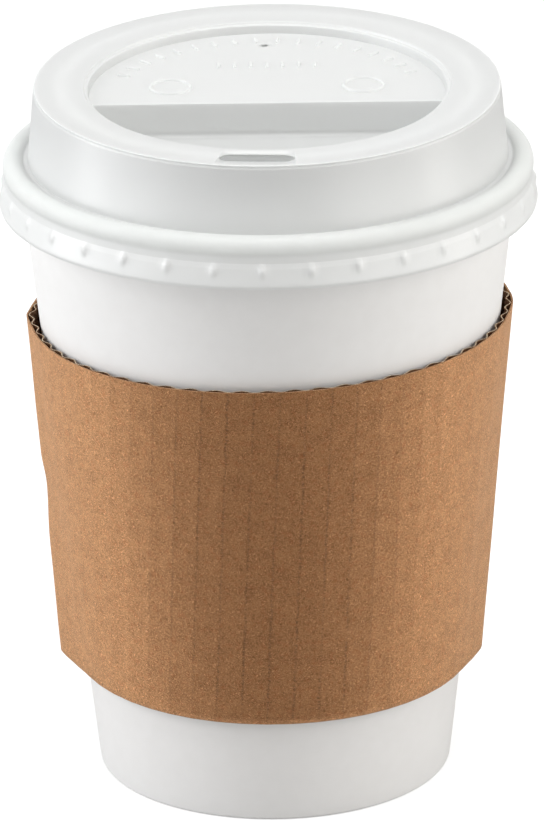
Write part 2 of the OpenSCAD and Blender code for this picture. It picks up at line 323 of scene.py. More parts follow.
def set_inputs(shader, **values):
    """Plain values for a shader's sockets, named with _ for a blank."""
    for key, value in values.items():
        shader.inputs[key.replace("_", " ")].default_value = value


def add_node(tree, kind, inputs, **settings):
    """A shader node with its settings and its inputs, which are values or outputs of other nodes."""
    node = tree.nodes.new("ShaderNode" + kind)
    for key, value in settings.items():
        setattr(node, key, value)
    for key, value in inputs.items():
        connect(tree, value, node.inputs[key])
    return node


def noise(tree, vector, scale, detail=2.0, rough=0.5):
    """Cloudy noise from about 0.3 to 0.7."""
    values = {"Vector": vector, "Scale": scale, "Detail": detail, "Roughness": rough}
    return add_node(tree, "TexNoise", values).outputs["Fac"]


def calc(tree, operation, a, b=0.0):
    """One step of arithmetic."""
    return add_node(tree, "Math", {0: a, 1: b}, operation=operation).outputs[0]


def times(tree, first, *others):
    """Product of all values."""
    for value in others:
        first = calc(tree, "MULTIPLY", first, value)
    return first


def spread(tree, value, low, high, to_low=0.0, to_high=1.0):
    """Maps low..high of a value to a range, clamped and eased."""
    values = {"Value": value, "From Min": low, "From Max": high, "To Min": to_low, "To Max": to_high}
    return add_node(tree, "MapRange", values, interpolation_type="SMOOTHSTEP").outputs["Result"]


def mix(tree, fac, a, b, blend="MIX"):
    """Colour a towards colour b."""
    node = add_node(tree, "Mix", {}, data_type="RGBA", blend_type=blend)
    connect(tree, fac, node.inputs["Factor"])
    connect(tree, a, node.inputs["A"])
    connect(tree, b, node.inputs["B"])
    return node.outputs["Result"]


def stretched(tree, vector, turn_deg, stretch):
    """Coordinates turned about Z and squeezed along the new X, so that a noise in them becomes streaks."""
    values = {"Vector": vector, "Rotation": (0, 0, radians(turn_deg)), "Scale": (1 / stretch, 1, 1)}
    return add_node(tree, "Mapping", values, vector_type="TEXTURE").outputs["Vector"]


def bump(tree, height, strength, distance):
    """Normals from a height, with the distance in millimetres."""
    values = {"Height": height, "Strength": strength, "Distance": distance * MM}
    return add_node(tree, "Bump", values).outputs["Normal"]


def object_mm(tree):
    """Object coordinates in millimetres."""
    place = add_node(tree, "TexCoord", {}).outputs["Object"]
    return add_node(tree, "VectorMath", {0: place, "Scale": 1 / MM}, operation="SCALE").outputs["Vector"]


# Materials

PAPER_WHITE = (0.91, 0.904, 0.894, 1), (0.925, 0.92, 0.911, 1)
KRAFT_LINER = (0.18, 0.073, 0.026, 1), (0.32, 0.142, 0.055, 1)
# The fluted sheet's browns are darker than the liner's: painted shade for the gap between sleeve and cup,
# where the sheet shows
FLUTING_PAINTED_SHADE = (0.085, 0.037, 0.017, 1), (0.15, 0.07, 0.033, 1)
LINER_CUT = (0.25, 0.12, 0.052, 1), (0.44, 0.25, 0.13, 1)
FLUTE_CUT = (0.24, 0.14, 0.08, 1), (0.66, 0.5, 0.34, 1)
LID_WHITE = (0.93, 0.938, 0.934, 1), (0.94, 0.948, 0.944, 1)
FLOOR_GREY = (0.49, 0.49, 0.49, 1), (0.51, 0.51, 0.51, 1)
GLUE_LINE, WHITE = (0.1, 0.038, 0.015, 1), (1, 1, 1, 1)
# Noises, each with its scale per millimetre, detail and roughness
PAPER_CLOUDS, PAPER_FIBRES = (0.35, 3), (3.0, 3, 0.6)
KRAFT_CLOUDS, KRAFT_GRAIN, KRAFT_PATCHES = (0.3, 4, 0.6), (2.1, 4, 0.75), (0.75, 3, 0.6)
KRAFT_FIBRES, LONG_FIBRES = (2.7, 2, 0.6), (2.5, 1)
LINE_BREAKS, LINE_FADES, LINE_WOBBLES = (1.0, 3, 0.7), (0.08, 1), (0.35, 2)
LID_HAZE, LID_SCUFFS = (0.12, 3), (1.6, 3, 0.7)
# Streaks, each with its turn in degrees and how many times it is stretched
PAPER_STREAKS, LONG_STREAKS, BREAK_STREAKS, SCUFF_STREAKS = (20, 4), (40, 9), (90, 3), (8, 6)
# Where a noise begins and ends to show, and how strongly at either
PAPER_TONE, KRAFT_TONE, PATCH_SHOWS = (0.35, 0.65), (0.38, 0.62), (0.5, 0.66, 0, 0.45)
FIBRE_SHOWS, LONG_SHOWS, SPECK_SHOWS = (0.59, 0.66, 0, 0.95), (0.73, 0.77, 0, 0.8), (0.39, 0.29, 0, 0.85)
# The last of these is where the painted sheen begins and ends to show, by how aslant the paper is seen
LINE_SHOWS, FADE_SHOWS, PAINTED_SHEEN_SHOWS = (0.44, 0.6, 0.06, 1), (0.4, 0.6, 0.6, 1), (0.05, 0.45)
PAPER_ROUGHNESS, LID_ROUGHNESS = (0.3, 0.7, 0.5, 0.62), (0.35, 0.75, 0.34, 0.42)
# Bumps, each with its strength and its height in millimetres
PAPER_BUMP, LINER_BUMP, PLAIN_BUMP, LID_BUMP = (0.12, 0.03), (0.7, 0.12), (0.5, 0.05), (0.1, 0.3)
# Colours of the kraft's details as shares of its dark or pale colour
RUDDY, LIGHT_FIBRE, DEEP_SPECK = (1.4, 1.05, 0.95), (1.7, 1.9, 2.2), (0.45, 0.45, 0.45)
FIBRE_TURNS, FIBRE_STRETCH = (4, 66, 122), 4
BEND_SCALE, FIBRE_BEND = 0.9, (1.6, 1.6, 0.0)
# Glue lines: half width to the edge and to the core, wobble, strength, and how much the painted sheen hides
LINE_W, LINE_CORE, LINE_WOBBLE, LINE_STRENGTH, LINE_HIDDEN = 0.36, 0.02, 0.7, 0.9, 0.8
# Painted sheen: what the colour is multiplied by where the paper is seen aslant, a paler tone that stands
# in for the side lamps' light
KRAFT_PAINTED_SHEEN = (1.9, 2.1, 2.35, 1)
LID_IOR = 1.59
# Share of light that goes through the sheet: as a rule, where it is drawn thinner on the recess's front
# wall, and raised in the well and on the bead, which darkens them as painted shade
SHEET_GLOW, FRONT_GLOW, WELL_SHADE_GLOW, BEAD_SHADE_GLOW = 0.42, 0.92, 0.57, 0.8
# Where it is raised, in millimetres from nothing to all: recess, its front wall, its well, and the bead
RECESS_R = (32.2, 31.6)
FRONT_Y, FRONT_Z = (-24.5, -27.0), (125.2, 124.6)
WELL_Z = (119.6, 118.4)
BEAD_R, BEAD_Z = (42.2, 42.7), (109.8, 110.8)
# Light that the floor adds to what the camera sees of it
FLOOR_LIFT = 0.62


def white_paper():
    """Smooth white coated paper with a faint cloudy formation and short fibres."""
    material, tree, shader = new_material("cup_paper")
    place = object_mm(tree)
    clouds = noise(tree, place, *PAPER_CLOUDS)
    fibres = noise(tree, stretched(tree, place, *PAPER_STREAKS), *PAPER_FIBRES)
    tone = calc(tree, "ADD", times(tree, clouds, 0.6), times(tree, fibres, 0.4))
    connect(tree, mix(tree, spread(tree, tone, *PAPER_TONE), *PAPER_WHITE), shader.inputs["Base Color"])
    connect(tree, spread(tree, fibres, *PAPER_ROUGHNESS), shader.inputs["Roughness"])
    connect(tree, bump(tree, fibres, *PAPER_BUMP), shader.inputs["Normal"])
    set_inputs(shader, Specular_IOR_Level=0.35)
    return material


def scaled(colour, shares):
    """A colour times a share for each channel, up to 1."""
    return [min(1, c * k) for c, k in zip(colour, shares)] + [1]


def kraft_colour(tree, place, dark, pale):
    """Mottled brown paper: clouds, grain, and pale and dark fibres that curve in three directions."""
    warp = add_node(tree, "TexNoise", {"Vector": place, "Scale": BEND_SCALE}).outputs["Color"]
    bent = add_node(tree, "VectorMath", {0: warp, 1: FIBRE_BEND}, operation="MULTIPLY").outputs["Vector"]
    bent = add_node(tree, "VectorMath", {0: place, 1: bent}, operation="ADD").outputs["Vector"]
    fibre = dip = None
    for angle in FIBRE_TURNS:
        streaks = noise(tree, stretched(tree, bent, angle, FIBRE_STRETCH), *KRAFT_FIBRES)
        fibre = streaks if fibre is None else calc(tree, "MAXIMUM", fibre, streaks)
        dip = streaks if dip is None else calc(tree, "MINIMUM", dip, streaks)
    clouds = noise(tree, place, *KRAFT_CLOUDS)
    grain = noise(tree, bent, *KRAFT_GRAIN)
    tone = calc(tree, "ADD", times(tree, grain, 0.7), times(tree, clouds, 0.3))
    colour = mix(tree, spread(tree, tone, *KRAFT_TONE), dark, pale)
    patches = noise(tree, place, *KRAFT_PATCHES)
    colour = mix(tree, spread(tree, patches, *PATCH_SHOWS), colour, scaled(dark, RUDDY))
    light = scaled(pale, LIGHT_FIBRE)
    colour = mix(tree, spread(tree, fibre, *FIBRE_SHOWS), colour, light)
    long_fibre = noise(tree, stretched(tree, bent, *LONG_STREAKS), *LONG_FIBRES)
    colour = mix(tree, spread(tree, long_fibre, *LONG_SHOWS), colour, light)
    colour = mix(tree, spread(tree, dip, *SPECK_SHOWS), colour, scaled(dark, DEEP_SPECK))
    return colour, fibre, grain


def glue_lines(tree, place):
    """How strong the broken, faded line of glue is at a place on the blank."""
    across = add_node(tree, "SeparateXYZ", {"Vector": place}).outputs["X"]
    wobble = times(tree, calc(tree, "SUBTRACT", noise(tree, place, *LINE_WOBBLES), 0.5), LINE_WOBBLE)
    phase = calc(tree, "DIVIDE", calc(tree, "ADD", across, wobble), FLUTE_PITCH)
    away = times(tree, calc(tree, "PINGPONG", phase, 0.5), FLUTE_PITCH)
    line = spread(tree, away, LINE_W, LINE_CORE)
    breaks = noise(tree, stretched(tree, place, *BREAK_STREAKS), *LINE_BREAKS)
    broken = spread(tree, breaks, *LINE_SHOWS)
    faded = spread(tree, noise(tree, place, *LINE_FADES), *FADE_SHOWS)
    return times(tree, line, broken, faded)


def kraft_liner():
    """The sleeve's outer paper, with glue lines over its flutes and a painted sheen: its colour is made
    paler where it is seen aslant.
    """
    material, tree, shader = new_material("kraft_liner")
    place = add_node(tree, "Attribute", {}, attribute_name="sheet_mm").outputs["Vector"]
    colour, fibre, grain = kraft_colour(tree, place, *KRAFT_LINER)
    # Painted sheen: the colour is made paler where the paper is seen aslant, and the glue lines fade there,
    # in place of the side lamps' light
    slanted = add_node(tree, "LayerWeight", {"Blend": 0.5}).outputs["Facing"]
    painted_sheen = spread(tree, slanted, *PAINTED_SHEEN_SHOWS)
    bare = calc(tree, "SUBTRACT", 1.0, times(tree, painted_sheen, LINE_HIDDEN))
    line = times(tree, glue_lines(tree, place), bare)
    colour = mix(tree, times(tree, line, LINE_STRENGTH), colour, GLUE_LINE)
    colour = mix(tree, painted_sheen, colour, mix(tree, 1.0, colour, KRAFT_PAINTED_SHEEN, "MULTIPLY"))
    connect(tree, colour, shader.inputs["Base Color"])
    relief = calc(tree, "SUBTRACT", calc(tree, "ADD", fibre, grain), line)
    connect(tree, bump(tree, relief, *LINER_BUMP), shader.inputs["Normal"])
    set_inputs(shader, Roughness=0.55, Specular_IOR_Level=0.35, Specular_Tint=(1, 0.75, 0.5, 1))
    set_inputs(shader, Sheen_Weight=0.35, Sheen_Roughness=0.5, Sheen_Tint=(1, 0.72, 0.45, 1))
    return material


def kraft_plain(name, dark, pale):
    """Brown paper without the glue lines: the fluted sheet and the cut edges."""
    material, tree, shader = new_material(name)
    colour, fibre, grain = kraft_colour(tree, object_mm(tree), dark, pale)
    connect(tree, colour, shader.inputs["Base Color"])
    relief = calc(tree, "ADD", fibre, grain)
    connect(tree, bump(tree, relief, *PLAIN_BUMP), shader.inputs["Normal"])
    set_inputs(shader, Roughness=0.85, Specular_IOR_Level=0.2)
    return material


def lid_glow(tree, place):
    """Share of light that goes through the lid's sheet at a place, raised in the well and on the bead as
    painted shade.
    """
    axes = add_node(tree, "SeparateXYZ", {"Vector": place}).outputs
    flat = add_node(tree, "CombineXYZ", {"X": axes["X"], "Y": axes["Y"]}).outputs["Vector"]
    r = add_node(tree, "VectorMath", {0: flat}, operation="LENGTH").outputs["Value"]
    recess = spread(tree, r, *RECESS_R)
    front = times(tree, recess, spread(tree, axes["Y"], *FRONT_Y), spread(tree, axes["Z"], *FRONT_Z))
    well = times(tree, recess, spread(tree, axes["Z"], *WELL_Z))
    bead = times(tree, spread(tree, r, *BEAD_R), spread(tree, axes["Z"], *BEAD_Z))
    share = SHEET_GLOW
    # The front wall is drawn thin; the well and the bead let more light through, which darkens them as
    # painted shade
    for thin_or_shaded, glow in ((front, FRONT_GLOW), (well, WELL_SHADE_GLOW), (bead, BEAD_SHADE_GLOW)):
        share = calc(tree, "MAXIMUM", share, times(tree, thin_or_shaded, glow))
    return share


def lid_plastic():
    """Thin white plastic: a soft gloss over a sheet that lets light through."""
    material, tree, shader = new_material("lid_plastic")
    place = object_mm(tree)
    haze = noise(tree, place, *LID_HAZE)
    scuffs = noise(tree, stretched(tree, place, *SCUFF_STREAKS), *LID_SCUFFS)
    colour = mix(tree, haze, *LID_WHITE)
    connect(tree, colour, shader.inputs["Base Color"])
    connect(tree, spread(tree, scuffs, *LID_ROUGHNESS), shader.inputs["Roughness"])
    connect(tree, bump(tree, haze, *LID_BUMP), shader.inputs["Normal"])
    set_inputs(shader, IOR=LID_IOR, Specular_IOR_Level=0.9)
    through = add_node(tree, "BsdfTranslucent", {"Color": colour}).outputs["BSDF"]
    shares = {0: lid_glow(tree, place), 1: shader.outputs["BSDF"], 2: through}
    both = add_node(tree, "MixShader", shares).outputs["Shader"]
    connect(tree, both, tree.nodes["Material Output"].inputs["Surface"])
    return material


def floor_material():
    """White floor that reads as white to the camera and keeps the object's soft shadow."""
    material, tree, shader = new_material("floor")
    place = add_node(tree, "TexCoord", {}).outputs["Object"]
    connect(tree, mix(tree, noise(tree, place, 3.0, 2), *FLOOR_GREY), shader.inputs["Base Color"])
    set_inputs(shader, Roughness=0.9, Specular_IOR_Level=0.0, Emission_Color=WHITE)
    path = add_node(tree, "LightPath", {})
    seen = calc(tree, "MAXIMUM", path.outputs["Is Camera Ray"], path.outputs["Is Transmission Ray"])
    connect(tree, times(tree, seen, FLOOR_LIFT), shader.inputs["Emission Strength"])
    return material


# The cup


def cup_section():
    """Mid-line of the cup's paper, from the turned-in edge round the foot and up to the end of the roll."""
    half = WALL_T / 2
    foot_mid = wall_r(0) - half
    fold = arc([foot_mid - FOLD_MID_R, half + FOLD_MID_R], FOLD_MID_R, 180, 360, FOLD_ROWS)
    inner = np.array([[fold[0][0] + wall_slope * TURN_IN_H, TURN_IN_H]])
    heights = np.linspace(half + FOLD_MID_R, roll_pos[1], WALL_ROWS)[1:]
    wall = np.stack([wall_r(heights) - half, heights], -1)
    a = np.radians(np.linspace(180, ROLL_ENDS, ROLL_ROWS))[1:]
    roll_radii = [roll_r - ROLL_END_IN * half, roll_r - half, roll_r - half]
    r = np.interp(np.degrees(a), [ROLL_ENDS, ROLL_TIGHTENS, 180], roll_radii)
    roll = roll_pos + r[:, None] * np.stack([np.cos(a), np.sin(a)], -1)
    return np.vstack([inner, fold, wall, roll])


def cup_shell(material):
    """The cup's wall with its foot, its rolled rim and the step of its glued lap."""
    path = cup_section()
    left, right = offset_path(path, WALL_T / 2), offset_path(path, -WALL_T / 2)
    section = np.vstack([right, left[::-1]])
    lap_half = degrees(LAP_W / 2 / wall_r(cup_h / 2))
    edge = LAP_AT + lap_half
    angles = np.linspace(0, 360, CUP_COLUMNS, endpoint=False)
    angles = np.sort(np.append(angles, [edge - LAP_EDGE, edge]))
    rise = np.clip((angles - LAP_AT + lap_half) / LAP_EASE, 0, 1)
    lap = LAP_T * eased(rise) * (angles < edge)
    z = section[:, 1]
    on_wall = (np.arange(len(section)) < len(right)) & (abs(section[:, 0] - wall_r(z)) < 0.02)
    fade = np.clip((roll_pos[1] - roll_r - z) / LAP_TOP_GAP, 0, 1) * on_wall
    r = section[:, :1] + fade[:, None] * lap[None, :]
    points = turn(r, np.radians(angles)[None, :], z[:, None])
    faces = grid_faces(len(section), len(angles), True, True)
    dress(make_piece("cup_shell", points, faces, [material], sharp=50), "cup", "cup_wall")


# The sleeve


def sleeve_height(a, k):
    """Height at an angle for a share of the sleeve's height: its top edge is skew."""
    return sleeve_z + (sleeve_h + SKEW * np.cos(a)) * k


def sleeve_point(a, k, out):
    """Points of the sleeve from the angle a, the share k of its height and the distance from the wall."""
    a, k, out = np.broadcast_arrays(a, k, out)
    z = sleeve_height(a, k)
    r = wall_r(z) + out
    on_left = np.cos(a) < 0
    low = np.where(on_left, FOLD_LEFT, FOLD_RIGHT)
    high = np.where(on_left, FOLD_LEFT_TOP, FOLD_RIGHT_TOP)
    rise = np.clip((z - DENT_LOW) / (DENT_DEEPEST - DENT_LOW), 0, 1)
    fall = np.clip((DENT_HIGH - z) / (DENT_HIGH - DENT_DEEPEST), 0, 1)
    fold = low + (high - low) * k - DENT_DEPTH * eased(rise) * eased(fall) * on_left
    from_fold = np.arccos(np.abs(np.cos(a)))
    meets = np.arccos(r / (r + fold))
    bend = np.hypot(from_fold, np.where(on_left, FOLD_LEFT_EASE, FOLD_RIGHT_EASE))
    r = np.where(from_fold < meets, r / np.cos(np.maximum(meets - bend, 0)), r)
    return turn(r, a, z)


def blank_mm(a, k):
    """Place on the flat blank in millimetres, across the flutes and along them."""
    a, k = np.broadcast_arrays(a, k)
    z = sleeve_height(a, k)
    front = np.radians(-90)
    seam = radians(SEAM_AT) - 2 * pi
    around = (a - seam) % (2 * pi) + seam - front
    rho = (wall_r(z) + face_out) / cone_sine
    turn_by = around * cone_sine + FLUTE_LEAN
    return np.stack([rho * np.sin(turn_by) + FLUTE_SHIFT, rho * np.cos(turn_by), 0 * z], -1)


def seam_lift(a):
    """How far the glued end of the sleeve stands proud, for each angle."""
    along = (a - radians(SEAM_AT)) % (2 * pi) / (SEAM_W / sleeve_hi[1])
    return SEAM_STEP * np.clip(1 - along, 0, 1) ** 0.5 * (along < 1)


def sleeve_angles(columns):
    """Even columns with a close pair where the glued end stops."""
    edge = radians(SEAM_AT)
    angles = np.linspace(0, 2 * pi, columns, endpoint=False)
    return np.sort(np.append(angles, [edge - SEAM_EDGE, edge]))


def sleeve_band(name, materials, grid, face, back, slant=0.0):
    """A closed band from its outer face and its inner face, which are functions of the angle and k."""
    columns, face_rows, back_rows = grid
    a = sleeve_angles(columns)[None, :]
    k_face = np.linspace(slant / sleeve_h, 1, face_rows)[:, None]
    k_back = np.linspace(1, 0, back_rows)[:, None]
    outside, inside = sleeve_point(a, k_face, face(a, k_face)), sleeve_point(a, k_back, back(a, k_back))
    points = np.concatenate([outside, inside])
    rows, columns = points.shape[:2]
    slots = np.zeros((rows, columns), dtype=int)
    slots[face_rows - 1] = slots[rows - 1] = 1
    faces = grid_faces(rows, columns, True, True)
    obj = make_piece(name, points, faces, materials, slots.ravel(), sharp=50)
    add_attribute(obj, "sheet_mm", blank_mm(a, np.concatenate([k_face, k_back])))
    return obj


def liner_face(a, k):
    """The outer paper is nearly flat between the flutes that it is glued to."""
    phase = blank_mm(a, k)[..., 0] / FLUTE_PITCH
    away = np.abs(phase - np.round(phase)) * 2
    return face_out - FACE_DEPTH * (1 - (1 - away) ** 2) + seam_lift(a)


def liner_back(a, k):
    """The liner's inner face."""
    return liner_face(a, k) - LINER_T


def flute_back(a, k):
    """The fluted paper's inner face, a wave across the blank."""
    phase = blank_mm(a, k)[..., 0] / FLUTE_PITCH
    wave = 0.5 + 0.5 * np.cos(2 * pi * phase)
    return flute_out + (FLUTE_H - FLUTE_T) * wave - GLUE_GAP


def flute_face(a, k):
    """The fluted paper's outer face."""
    return flute_back(a, k) + FLUTE_T


def sleeve_liner():
    """The outer paper of the sleeve."""
    materials = [kraft_liner(), kraft_plain("liner_cut", *LINER_CUT)]
    obj = sleeve_band("liner_paper", materials, LINER_GRID, liner_face, liner_back, CUT_SLANT)
    dress(obj, "sleeve", "sleeve_liner")


def sleeve_fluting():
    """The wavy paper inside the sleeve, in a darker brown that paints the shade of the gap it stands in."""
    materials = [kraft_plain("kraft_fluting", *FLUTING_PAINTED_SHADE), kraft_plain("flute_cut", *FLUTE_CUT)]
    obj = sleeve_band("fluted_paper", materials, FLUTE_GRID, flute_face, flute_back)
    dress(obj, "sleeve", "sleeve_fluting")


# The lid


def tilted(points):
    """Points drawn on the drum's own axis, tilted to the front and moved up to the groove."""
    x, y, h = points[..., 0], points[..., 1], points[..., 2]
    tilt = TOP_FALL * eased(np.clip(h / TILT_EASE_H, 0, 1))
    back = y * np.cos(tilt) - h * np.sin(tilt)
    up = groove_z + y * np.sin(tilt) + h * np.cos(tilt)
    return np.stack([x, back, up], -1)


def skirt_angles():
    """Angles of the skirt's columns in degrees, close together on the pips."""
    start = -90 - PIP_TURN
    return np.array([start + 360 * i / PIPS + p for i in range(PIPS) for p in PIP_COLUMNS + BETWEEN_PIPS])


def skirt_rows(angles):
    """The skirt, notch and bead from the bottom edge up to the groove's inner side."""
    start = -degrees(asin(BEAD_LOW / bead_r))
    # Key point, radius of its corner and steps of the corner
    keys, radii, steps = zip(
        ([skirt_r - LIP_IN - LIP_BACK, skirt_z + LIP_RISE], 0, 0),
        ([skirt_r - LIP_IN, skirt_z], 0.15, 2),
        ([skirt_r, skirt_z + LIP_H], 0.8, 3),
        ([notch_r + NOTCH_EASE_W, notch_z - NOTCH_EASE_H], 1.2, 5),
        ([notch_r, notch_z], 0.35, 5),
        (arc(bead_pos, bead_r, start, start, 0)[0], 0, 0),
    )
    low = rounded(np.array(keys)[:, None, :], radii, steps)[:, 0]
    fine = []
    for a, b in zip(low[:-1], low[1:]):
        count = max(1, int(np.linalg.norm(b - a) / SKIRT_SPACING))
        fine += [a + (b - a) * s / count for s in range(count)]
    groove = 180 - bead_rise
    bead = arc(bead_pos, bead_r, start, groove - BEAD_END, BEAD_ROWS)
    valley = arc(bead_pos, bead_r, groove - GROOVE_START, groove, 1)
    path = np.vstack([fine, bead, valley, [[groove_r - GROOVE_FLOOR, groove_z]]])
    step = 360 / PIPS
    pip = (angles - angles[0] + PIP_COLUMNS[0] + step / 2) % step - step / 2
    along = (path[:, 1] - (notch_z - PIP_H / 2)) / (PIP_H / 2 + PIP_END)
    lift = PIP_OUT * smooth_hump(pip[None, :] / PIP_HALF) * smooth_hump(along[:, None]) ** PIP_POWER
    lift *= (np.arange(len(path)) < len(fine))[:, None]
    return turn(path[:, :1] + lift, np.radians(angles)[None, :], path[:, 1:])


def step_profile():
    """(y, depth) of the recess floor from the back to the front, across the rounded step."""
    run = (WELL_DEPTH - PLATFORM_DEPTH) * DRAFT
    end = recess_r - FLOOR_MARGIN
    # Key point, radius of its corner and steps of the corner
    keys, radii, steps = zip(
        ([end, PLATFORM_DEPTH], 0, 0),
        ([-STEP_Y, PLATFORM_DEPTH], 0.2, 6),
        ([-STEP_Y - run, WELL_DEPTH], 1.0, 6),
        ([-end, WELL_DEPTH], 0, 0),
    )
    return rounded(np.array(keys)[:, None, :], radii, steps)[1:-1, 0]


def wall_at(depth):
    """Radius of the recess wall at a depth below the ring, with a small ledge at the platform."""
    ledge = WELL_LEDGE * np.clip((depth - PLATFORM_DEPTH) / WELL_LEDGE_H, 0, 1)
    return recess_r - depth * DRAFT - ledge


def drum_columns():
    """Angles of the drum's right half in degrees, from front to back, and the floor's depth at each."""
    step = step_profile()
    fine = np.linspace(step[0, 0], step[-1, 0], STEP_COLUMNS)
    ys = np.unique(np.concatenate([step[:, 0], fine]).round(3))
    depth_at = np.interp(-ys, -step[:, 0], step[:, 1])
    middle = np.degrees(np.arcsin(ys / (wall_at(depth_at) - FLOOR_FILLET)))
    front = np.linspace(-90, middle[0], WELL_COLUMNS)[:-1]
    back = np.linspace(middle[-1], 90, PLATFORM_COLUMNS)[1:]
    depth = [np.full(len(front), WELL_DEPTH), depth_at, np.full(len(back), PLATFORM_DEPTH)]
    return np.concatenate([front, middle, back]), np.concatenate(depth)


def drum_rows(angles, depth):
    """The drum's side, ring and recess wall, down to where the floor becomes flat."""
    def at(r, down):
        """Key points of all columns from a radius and a depth under the ring."""
        return np.stack(np.broadcast_arrays(r, drum_h - down, depth)[:2], -1)

    slope = DRUM_TAPER / drum_h
    shelf = np.minimum(PLATFORM_DEPTH, depth - LEAST_DROP)
    # Key point, radius of its corner and steps of the corner
    keys, radii, steps = zip(
        (at(drum_foot_r + FOOT_OUT, drum_h), 0, 0),
        (at(drum_foot_r, drum_h), 0.4, 5),
        (at(drum_foot_r - slope * (drum_h - EDGE_LIP_H), EDGE_LIP_H), 0.2, 2),
        (at(drum_top_r - EDGE_LIP_IN, EDGE_LIP_H * EDGE_LIP_SHARE), 0.1, 2),
        (at(drum_top_r, 0), EDGE_R, 5),
        (at(recess_r + LEDGE_W + LEDGE_DRAFT, RING_FALL), 0.25, 4),
        (at(recess_r + LEDGE_W - LEDGE_DEPTH * DRAFT, LEDGE_DEPTH), 0.2, 3),
        (at(recess_r - LEDGE_DEPTH * DRAFT, LEDGE_DEPTH), 0.25, 4),
        (at(wall_at(shelf), shelf), 0.2, 2),
        (at(wall_at(depth), depth), 0.65, 6),
        (at(wall_at(depth) - FLOOR_FILLET, depth), 0, 0),
    )
    rows = rounded(np.array(keys), radii, steps)
    return turn(rows[..., 0], np.radians(angles)[None, :], rows[..., 1])


def floor_rows(rim, n):
    """Rows of the recess floor between the right half of its rim, which has n points, and the left half."""
    right, left = rim[1:n - 1], rim[n:][::-1]
    s = (0.5 - 0.5 * np.cos(np.linspace(0, pi, FLOOR_ROWS + 1)))[1:-1, None, None]
    return right * (1 - s) + left * s


def floor_faces(rim_start, n, floor_start):
    """Faces of the recess floor from the numbers of its rim's first point and its own first point."""
    columns = n - 2
    rim_right = rim_start + np.arange(1, n - 1)
    rim_left = rim_start + np.arange(n, 2 * n - 2)[::-1]
    inner = floor_start + np.arange((FLOOR_ROWS - 1) * columns).reshape(-1, columns)
    numbers = np.vstack([rim_right, inner, rim_left])
    quads = np.stack([numbers[:-1, :-1], numbers[:-1, 1:], numbers[1:, 1:], numbers[1:, :-1]], -1)
    ends = [[rim_start] + numbers[:, 0].tolist(), [rim_start + n - 1] + numbers[::-1, -1].tolist()]
    return quads.reshape(-1, 4).tolist() + ends


def zipper(low, low_angles, high, high_angles):
    """Triangles between two closed rings of point numbers that have different angles."""
    def order(numbers, angles):
        """Numbers and angles sorted from 0 degrees, once round and on to the start again."""
        by = np.argsort(angles % 360)
        turned = (angles % 360)[by]
        return np.append(numbers[by], numbers[by][0]), np.append(turned, turned[0] + 360)

    (low, low_at), (high, high_at) = order(low, low_angles), order(high, high_angles)
    faces, i, j, n, m = [], 0, 0, len(low) - 1, len(high) - 1
    while i < n or j < m:
        if j >= m or (i < n and low_at[i + 1] <= high_at[j + 1]):
            faces.append((low[i], low[i + 1], high[j]))
            i += 1
        else:
            faces.append((low[i], high[j + 1], high[j]))
            j += 1
    return faces


def lid_surface():
    """Outer face of the lid as points and faces: skirt and bead, drum and recess, and the floor."""
    skirt_a = skirt_angles()
    skirt = skirt_rows(skirt_a)
    right, depth = drum_columns()
    drum_a = np.concatenate([right, 180 - right[-2:0:-1]])
    drum = drum_rows(drum_a, np.concatenate([depth, depth[-2:0:-1]]))
    floor_points = floor_rows(drum[-1], len(right))
    points = [skirt.reshape(-1, 3), tilted(drum).reshape(-1, 3), tilted(floor_points).reshape(-1, 3)]
    drum_start = len(points[0])
    floor_start = drum_start + len(points[1])
    skirt_top = drum_start - len(skirt_a) + np.arange(len(skirt_a))
    drum_foot = drum_start + np.arange(len(drum_a))
    faces = grid_faces(len(skirt), len(skirt_a), False, True).tolist()
    faces += (grid_faces(len(drum), len(drum_a), False, True) + drum_start).tolist()
    faces += zipper(skirt_top, skirt_a, drum_foot, drum_a)
    faces += floor_faces(floor_start - len(drum_a), len(right), floor_start)
    return np.vstack(points), faces


def mark_section(closed):
    """(inset, height) rows over a raised mark: up its side and, where it is closed, down the other."""
    down = tuple((MARK_W - inset, height) for inset, height in MARK_SIDE[::-1])
    return MARK_SIDE + down if closed else MARK_SIDE


def bar_mark(centre, angle_deg):
    """A raised bar on the platform as points and faces."""
    rows = []
    for inset, height in mark_section(False):
        reach = np.array([MARK_W, MARK_L]) / 2 - inset
        corner = min(MARK_CORNER, reach[0])
        outline = np.vstack([
            arc(reach * [x, y] - np.array([x, y]) * corner, corner, start, start + 90, CORNER_STEPS)
            for x, y, start in ((1, 1, 0), (-1, 1, 90), (-1, -1, 180), (1, -1, 270))
        ])
        rows.append(np.column_stack([outline, np.full(len(outline), height)]))
    around = len(rows[0])
    points = np.concatenate(rows)
    points[:, :2] = rotated(points[:, :2], radians(angle_deg)) + centre
    top = list(range(len(points) - around, len(points)))
    return points, grid_faces(len(rows), around, False, True).tolist() + [top]


def ring_mark(centre):
    """A raised ring on the platform as points and faces."""
    section = np.array(mark_section(True))
    around = np.linspace(0, 2 * pi, RING_MARK_STEPS, endpoint=False)
    points = turn(RING_MARK_D / 2 - section[:, :1], around[None, :], section[:, 1:])
    points = points.reshape(-1, 3) + [*centre, 0]
    return points, grid_faces(len(section), RING_MARK_STEPS, False, True).tolist()


